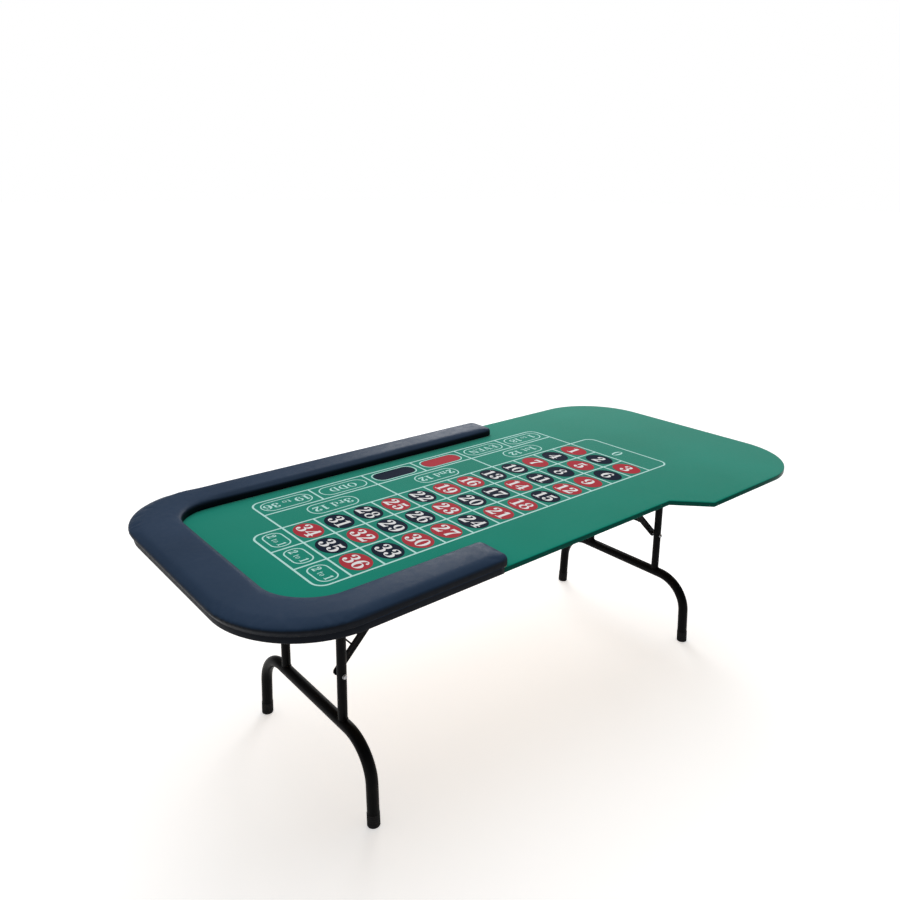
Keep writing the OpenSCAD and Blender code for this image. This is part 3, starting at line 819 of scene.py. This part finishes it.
def simulate(piece, voxel, pressure, cap, frames=20):
    """Swells the pad as foam under a stretched cover; it stays put where it is stapled down."""
    mod = piece.modifiers.new("remesh", "REMESH")
    mod.mode, mod.voxel_size = "VOXEL", voxel
    apply_modifiers(piece)
    rest = [v.co.copy() for v in piece.data.vertices]
    held = [max(0.0, min(1.0, (HELD_HIGH - v.z) / (HELD_HIGH - HELD_LOW))) for v in rest]
    pins = piece.vertex_groups.new(name="pins")
    for i, share in enumerate(held):
        if share > 0:
            pins.add([i], share, "REPLACE")
    cloth_mod = piece.modifiers.new("cloth", "CLOTH")
    settings = cloth_mod.settings
    settings.vertex_group_mass = "pins"
    settings.quality = 5
    settings.mass = 0.3
    settings.tension_stiffness = settings.compression_stiffness = 12
    settings.bending_stiffness = 0.6
    settings.use_pressure = True
    settings.uniform_pressure_force = pressure
    settings.effector_weights.gravity = 0
    cloth_mod.collision_settings.use_self_collision = False
    scene = bpy.context.scene
    for f in range(1, frames + 1):
        scene.frame_set(f)
    apply_modifiers(piece)
    scene.frame_set(1)
    for v, before, share in zip(piece.data.vertices, rest, held):
        move = (v.co - before) * (1 - share)
        v.co = before + move * min(1.0, cap / max(move.length, 1e-9))
    mod = piece.modifiers.new("smooth", "SMOOTH")
    mod.factor, mod.iterations = 0.5, 3
    mod = piece.modifiers.new("finer", "SUBSURF")
    mod.levels = mod.render_levels = 1
    apply_modifiers(piece)
    piece.data.shade_smooth()


def lay_flat(piece):
    """Presses the pad's underside flat on the cloth."""
    for v in piece.data.vertices:
        v.co.z = max(v.co.z, PAD_LOW)


pad = pad_mesh("armrest_pad", rail_z - 1.5 * MM)
simulate(pad, voxel=5 * MM, pressure=4, cap=3 * MM)
lay_flat(pad)
dress(pad, vinyl)
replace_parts(pad, "armrest_cover", "armrest_foam")
make_skirt()


# ---- Small metal pieces ----
JOINTS = {j["name"]: j for j in frame["record"]["behaviour"]["joints"]}
SCREW_HEAD = 2.5 * MM
# Sides, then (radius, height) pairs in mm: bolt head, washer, shank, spacer, lock nut, nut collar.
BOLT_SHAPES = [
    (6, [(5.4, 0.0), (6.5, 0.9), (6.5, 4.7)]),
    (40, [(6.7, 4.6), (7.0, 4.8), (7.0, 5.8), (6.7, 6.0)]),
    (32, [(4.0, 5.5), (4.0, 51.9), (3.4, 52.6)]),
    (32, [(5.6, 34.0), (6.0, 34.4), (6.0, 39.1), (5.6, 39.5)]),
    (6, [(5.8, 45.5), (6.5, 46.1), (6.5, 49.6), (5.6, 50.4)]),
    (32, [(5.2, 50.0), (5.2, 51.1), (4.7, 51.5)]),
]
RIVET_R = 4 * MM
RIVET_DOME = [(7.0, 0.01), (6.9, 0.5), (6.2, 1.3), (4.7, 2.0), (2.6, 2.4), (0.8, 2.5)]
FOOT_LEAN = math.radians(2.5)
BEND_R = 115 * MM
CAP_FLOOR = 6 * MM
# (Growth over the tube's radius, height over CAP_FLOOR) in mm, from the inside over the ribs down.
CAP_RIBS = [(grow, top - drop) for top in (28.0, 21.6, 15.2)
            for grow, drop in ((1.0, 0.0), (1.0, 4.0), (0.55, 4.6), (0.55, 5.8))]
CAP_PROFILE = [(-99, 0.2), (-0.05, 0.2), (-0.05, 33.8), (0.25, 34.1), (0.75, 34.0), (1.0, 33.5),
               (1.0, 31.0), (0.7, 30.4), (0.7, 28.6), *CAP_RIBS, (1.0, 8.8), (1.0, -4.2),
               (0.6, -5.2), (-0.5, -6.0), (-4.0, -6.3), (-99, -6.3)]


def tube_rows(points, radius, sides=8, closed=True, side_way=None):
    """Vertices and faces of a round bar through points; side_way keeps it from twisting."""
    verts, n = [], len(points)
    rows = [Vector(p) for p in points]
    for i, p in enumerate(rows):
        way = (rows[(i + 1) % n] - rows[i - 1] if closed or 0 < i < n - 1 else
               rows[min(i + 1, n - 1)] - rows[max(i - 1, 0)]).normalized()
        side = Vector(side_way) if side_way else \
            way.cross(Vector((0, 0, 1)) if abs(way.z) < 0.9 else Vector((1, 0, 0))).normalized()
        up = side.cross(way)
        r = radius[i] if isinstance(radius, list) else radius
        for k in range(sides):
            a = math.tau * k / sides
            verts.append(p + (side * math.cos(a) + up * math.sin(a)) * r)
    return verts, bands(n, sides, closed)


class Parts:
    """Many small closed shapes gathered into one piece."""

    def __init__(self, name):
        self.name, self.verts, self.faces = name, [], []

    def add(self, verts, faces):
        base = len(self.verts)
        self.verts += verts
        self.faces += [[base + i for i in f] for f in faces]

    def lathe(self, profile, place, axis, sides=24):
        """Spins (radius, height) pairs about an axis through a place; six sides make a hexagon."""
        axis = Vector(axis).normalized()
        side = axis.orthogonal().normalized()
        up = axis.cross(side)
        verts = [Vector(place) + axis * h
                 + (side * math.cos(math.tau * k / sides) + up * math.sin(math.tau * k / sides)) * r
                 for r, h in profile for k in range(sides)]
        self.add(verts, bands(len(profile), sides))

    def done(self, material, body, slot):
        piece = add_mesh(self.name, self.verts, self.faces, smooth=True)
        recalc(piece)
        piece.data.set_sharp_from_angle(angle=math.radians(40))
        return dress(piece, material, body)


def make_staples():
    """Wire staples through the vinyl hem and the cloth hem, under the board."""
    half, leg, wire, bend = 5.5 * MM, 4 * MM, 0.55 * MM, 0.3 * MM
    staples = Parts("hem_staples")

    def staple(place, way, z):
        way = Vector(turned(way.x, way.y, rng.uniform(-0.25, 0.25)))
        a, b = place - way * half, place + way * half
        staples.add(*tube_rows([(*a, z + leg), (*a, z + bend), (*a.lerp(b, 0.06), z),
                                (*a.lerp(b, 0.94), z), (*b, z + bend), (*b, z + leg)],
                               wire, sides=6, closed=False))

    vinyl_pitch, cloth_pitch, clear = 36 * MM, 42 * MM, 12 * MM
    far_end, near_end = FAR_END - END_R, NEAR_END - END_R
    for place, inward in u_path(15 * MM, far_end - clear, near_end - clear, vinyl_pitch):
        staple(place, Vector((-inward.y, inward.x)), cloth_lo.z - 1.7 * MM)
    outline = [Vector(p) for p in cloth_outline(17 * MM, 12)]
    spare = 0.0
    for a, b in zip(outline, outline[1:] + outline[:1]):
        way = (b - a).normalized()
        while spare < (b - a).length:
            p = a + way * spare
            under_vinyl = p.x < near_end + 10 * MM or (p.x < far_end and p.y > 0)
            if not under_vinyl:
                staple(p, way, cloth_lo.z - 0.4 * MM)
            spare += cloth_pitch
        spare -= (b - a).length
    staples.done(zinc, "table_top", "zinc_steel")


def screw_head(parts, place):
    """A pan head with a cross recess, under a flat place and seen from below."""
    sides, rings, r, t = 32, (0.12, 0.24, 0.36, 0.48, 0.6, 0.74, 0.88, 1.0), 4 * MM, SCREW_HEAD
    turn = rng.uniform(0, math.tau)
    verts = []
    for q in rings:
        for k in range(sides):
            x, y = q * math.cos(math.tau * k / sides), q * math.sin(math.tau * k / sides)
            near, far = sorted((abs(x), abs(y)))
            sunk = 0.5 * t if near < 0.15 and far < 0.62 else 0
            px, py = turned(x, y, turn)
            verts.append(place + Vector((px * r, py * r, sunk - t * (
                0.55 + 0.45 * math.sqrt(max(0, 1 - q * q))))))
    n = len(rings)
    verts += [Vector((v.x, v.y, place.z)) for v in verts[-sides:]]
    verts.append(place - Vector((0, 0, t * 0.5)))
    faces = bands(n + 1, sides, caps=False)
    faces += [[(n + 1) * sides, k, (k + 1) % sides] for k in range(sides)]
    faces.append([n * sides + k for k in range(sides)])
    parts.add(verts, faces)


def node_shape(node):
    """A copy of a CAD node's mesh whose faces share their corners."""
    bm = bmesh.new()
    bm.from_mesh(frame["nodes"][node].data)
    bmesh.ops.remove_doubles(bm, verts=bm.verts, dist=1e-6)
    return bm


def islands(node):
    """The box of each separate shape in a CAD node, in a fixed order."""
    bm = node_shape(node)
    left, boxes = set(bm.verts), []
    while left:
        stack, seen = [left.pop()], []
        while stack:
            v = stack.pop()
            seen.append(v.co.copy())
            for edge in v.link_edges:
                other = edge.other_vert(v)
                if other in left:
                    left.remove(other)
                    stack.append(other)
        boxes.append(tuple(Vector([pick(c[i] for c in seen) for i in range(3)])
                           for pick in (min, max)))
    bm.free()
    return sorted(boxes, key=lambda b: tuple(b[0]))


def make_screws():
    """Pan heads with a cross recess in place of the plain screw heads."""
    nodes = ["armrest_screws"] + [side + part for side in ("left", "right")
                                  for part in ("_leg_bracket_screws", "_stay_bracket_screws")]
    for node in nodes:
        heads = Parts(node + "_heads")
        for lo, hi in islands(node):
            mid = (lo + hi) / 2
            screw_head(heads, Vector((mid.x, mid.y, lo.z + SCREW_HEAD)))
        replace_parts(heads.done(zinc, "table_top", "zinc_steel"), node)


def make_bolts(side):
    """A hex bolt, washers, spacer and lock nut at each stay bolt. Heights run inwards."""
    x, y, z = JOINTS[side + "_lower_stay_turn"]["pos_m"]
    lo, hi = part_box(side + "_stay_bolts")
    bolts = Parts(side + "_stay_bolt_set")
    for s in (-1, 1):
        for sides, profile in BOLT_SHAPES:
            bolts.lathe([(r * MM, h * MM) for r, h in profile],
                        (x, y + s * (hi.y - lo.y) / 2, z), (0, -s, 0), sides)
    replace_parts(bolts.done(zinc, side + "_leg", "zinc_steel"), side + "_stay_bolts")


def make_rivets(node, body):
    """Domed rivet heads on the inner side of the stays."""
    rivets = Parts(node + "_domed")
    middle = (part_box(node)[0].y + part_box(node)[1].y) / 2
    for lo, hi in islands(node):
        s = 1 if lo.y < middle else -1
        rise = RIVET_DOME[-1][1] * MM
        base = hi.y - rise if s > 0 else lo.y + rise
        length = hi.y - lo.y - rise
        rivets.lathe([(RIVET_R, -length), (RIVET_R, 0)] + [(r * MM, h * MM) for r, h in RIVET_DOME],
                     ((lo.x + hi.x) / 2, base, (lo.z + hi.z) / 2), (0, s, 0))
    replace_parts(rivets.done(zinc, body, "zinc_steel"), node)


def foot_place(side):
    """Radius of the foot tube, its middle, its crossbar's height and a foot's distance from it."""
    lo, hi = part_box(side + "_foot_tube")
    r, mid = (hi.x - lo.x) / 2, (lo + hi) / 2
    return r, mid, hi.z - r, (hi.y - lo.y) / 2 - r * math.cos(FOOT_LEAN)


def make_foot_tube(side):
    """The bent foot tube as one smooth bar from foot to foot."""
    r, mid, bar_z, foot = foot_place(side)
    bend = math.pi / 2 - FOOT_LEAN
    run = (bar_z - BEND_R * (1 - math.cos(bend)) - CAP_FLOOR) / math.sin(bend)
    start = foot - BEND_R * math.sin(bend) - run * math.cos(bend)
    half = [(foot, CAP_FLOOR)]
    half += [(start + BEND_R * math.sin(bend * k / 24), bar_z - BEND_R * (1 - math.cos(bend * k / 24)))
             for k in range(24, -1, -1)]
    path = [(mid.x, mid.y + a, z) for a, z in half] + [(mid.x, mid.y - a, z) for a, z in half[::-1]]
    tube = Parts(side + "_foot_tube_bent")
    tube.add(*tube_rows(path, r, 40, False, (1, 0, 0)))
    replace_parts(tube.done(enamel, side + "_leg", "black_steel"), side + "_foot_tube")


def make_foot_cap(side, end, s):
    """A ribbed rubber cap pushed over the end of the foot tube, flat on the floor."""
    r, mid, _, foot = foot_place(side)
    cap = Parts("%s_%s_foot_cap_rubber" % (side, end))
    axis = Vector((0, -s * math.sin(FOOT_LEAN), math.cos(FOOT_LEAN)))
    place = Vector((mid.x, mid.y + s * foot, CAP_FLOOR))
    cap.lathe([(max(0.5 * MM, r + grow * MM), h * MM) for grow, h in CAP_PROFILE], place, axis, 40)
    cap.verts = [Vector((v.x, v.y, max(v.z, 0.0))) for v in cap.verts]
    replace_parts(cap.done(rubber, side + "_leg", "foot_rubber"), "%s_%s_foot_cap" % (side, end))


def weld_ring(parts, centre, around, height, thick):
    """A rippled bead; height gives the bead's rise at each place round the ring."""
    points, radii, steps = [], [], 72
    for k in range(steps):
        a = math.tau * k / steps
        u, v = around[0] * math.cos(a), around[1] * math.sin(a)
        points.append(centre + u + v + height(math.cos(a)))
        ripple = 0.10 * math.sin(a * 24)
        ripple += 0.12 * noise.noise(Vector((4 * math.cos(a), 4 * math.sin(a), centre.y * 9)))
        radii.append(thick * (1 + ripple))
    parts.add(*tube_rows(points, radii, 8))


def make_welds(side):
    """Weld beads at both ends of the uprights and round the cross tube between the stays."""
    r, _, bar_z, _ = foot_place(side)
    hinge_z = JOINTS[side + "_leg_fold"]["pos_m"][2]
    leg_welds, stay_welds = Parts(side + "_leg_welds"), Parts(side + "_stay_welds")
    for end in ("front", "rear"):
        lo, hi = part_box("%s_%s_upright" % (side, end))
        mid, own = (lo + hi) / 2, (hi.x - lo.x) / 2
        ways = (Vector((own, 0, 0)), Vector((0, own, 0)))
        for z, sign, tube_r, thick in ((bar_z, 1, r, 2.0 * MM), (hinge_z, -1, own, 1.1 * MM)):
            weld_ring(leg_welds, Vector((mid.x, mid.y, z)), ways,
                      lambda c, sign=sign, tube_r=tube_r: Vector(
                          (0, 0, sign * math.sqrt(max(0.0, tube_r ** 2 - (own * c) ** 2)))), thick)
    lo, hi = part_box(side + "_stay_cross_tube")
    mid, own = (lo + hi) / 2, (hi.x - lo.x) / 2
    for y in (lo.y + 0.8 * MM, hi.y - 0.8 * MM):
        weld_ring(stay_welds, Vector((mid.x, y, mid.z)),
                  (Vector((own, 0, 0)), Vector((0, 0, own))), lambda c: Vector(), 1.4 * MM)
    leg_welds.done(enamel, side + "_leg", "black_steel")
    stay_welds.done(enamel, side + "_lower_stay", "black_steel")


def soften(node, body, material):
    """The CAD shape of a stamped or sawn part with its sharp edges broken."""
    bm = node_shape(node)
    bmesh.ops.dissolve_limit(bm, angle_limit=math.radians(1), verts=bm.verts, edges=bm.edges)
    mesh = bpy.data.meshes.new(node + "_edged")
    bm.to_mesh(mesh)
    bm.free()
    piece = bpy.data.objects.new(node + "_edged", mesh)
    bpy.context.scene.collection.objects.link(piece)
    mod = piece.modifiers.new("bevel", "BEVEL")
    mod.width, mod.segments, mod.limit_method = 0.6 * MM, 2, "ANGLE"
    mod.angle_limit = math.radians(50)
    apply_modifiers(piece)
    piece.data.shade_smooth()
    piece.data.set_sharp_from_angle(angle=math.radians(35))
    dress(piece, material, body)
    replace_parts(piece, node)


make_staples()
make_screws()
for side in ("left", "right"):
    make_bolts(side)
    make_rivets(side + "_stay_bracket_rivets", "table_top")
    make_rivets(side + "_knee_rivets", side + "_lower_stay")
    make_foot_tube(side)
    make_welds(side)
    for end, s in (("front", -1), ("rear", 1)):
        make_foot_cap(side, end, s)
        for kind, body, material, slot in (
                ("leg_bracket", "table_top", bracket_paint, "bracket_steel"),
                ("stay_bracket", "table_top", bracket_paint, "bracket_steel"),
                ("lower_stay", side + "_lower_stay", enamel, "black_steel"),
                ("upper_stay", side + "_upper_stay", enamel, "black_steel")):
            soften("%s_%s_%s" % (side, end, kind), body, material)


# ---- Stage, light and camera ----
STUDIO_LIGHT = 0.32
FLOOR_GLOW = 0.48
FLOOR_REACH = 60.0
LENS_MM, SENSOR_MM = 31.78, 36
CAMERA_SHIFT = (-0.0073, -0.0785)
CAMERA_PLACE = (-1.700, -1.784, felt_z + 0.968)
CAMERA_TURN = (76.094, -0.703, -40.133)    # degrees


def make_stage():
    """A pale floor, lit from below too, that fades into a white studio with a softer light."""
    corners = [(x * FLOOR_REACH, y * FLOOR_REACH, 0) for x, y in ((-1, -1), (1, -1), (1, 1), (-1, 1))]
    floor = add_mesh("floor", corners, [[0, 1, 2, 3]])
    m = Nodes("floor_paint")
    pale = m.ramp(m.noise(0.6, 2.0), [(0.3, (0.90, 0.90, 0.90)), (0.7, (0.92, 0.92, 0.92))])
    m.set(Base_Color=pale, Roughness=0.9, Specular_IOR_Level=0.1, Emission_Color=(1, 1, 1, 1),
          Emission_Strength=FLOOR_GLOW)
    floor.data.materials.append(m.material)
    world = bpy.data.worlds.new("studio")
    world.use_nodes = True
    tree = world.node_tree
    seen = tree.nodes.new("ShaderNodeLightPath").outputs["Is Camera Ray"]
    strength = tree.nodes.new("ShaderNodeMapRange")
    tree.links.new(seen, strength.inputs["Value"])
    strength.inputs["To Min"].default_value = STUDIO_LIGHT
    strength.inputs["To Max"].default_value = 1.0
    background = tree.nodes["Background"]
    background.inputs["Color"].default_value = (1, 1, 1, 1)
    tree.links.new(strength.outputs[0], background.inputs["Strength"])
    bpy.context.scene.world = world


def add_lamp(name, kind, place, aim, power):
    """A lamp at a place that shines towards aim."""
    light = bpy.data.lights.new(name, kind)
    light.energy = power
    lamp = bpy.data.objects.new(name, light)
    lamp.location = place
    lamp.rotation_euler = (Vector(aim) - Vector(place)).to_track_quat("-Z", "Y").to_euler()
    bpy.context.scene.collection.objects.link(lamp)
    return light


def make_lights():
    """Wide even light from high behind, and a round soft panel near the wheel end."""
    key = add_lamp("key", "SUN", (0.9, 1.1, 4.0), (0, 0, 0), 1.15)
    key.angle = math.radians(70)
    panel = add_lamp("rear_panel", "AREA", (1.9, 2.3, 1.9), (0.7, 0.2, felt_z), 30)
    panel.shape, panel.size = "DISK", 1.6


def make_camera():
    """The camera solved from the photograph's straight lines and the printed grid."""
    data = bpy.data.cameras.new("camera")
    data.lens, data.sensor_width = LENS_MM, SENSOR_MM
    data.shift_x, data.shift_y = CAMERA_SHIFT
    data.dof.use_dof = False
    camera = bpy.data.objects.new("camera", data)
    camera.location = CAMERA_PLACE
    camera.rotation_euler = Euler([math.radians(a) for a in CAMERA_TURN])
    bpy.context.scene.collection.objects.link(camera)
    bpy.context.scene.camera = camera


make_stage()
make_lights()
make_camera()
bpy.context.scene.view_settings.view_transform = "Standard"
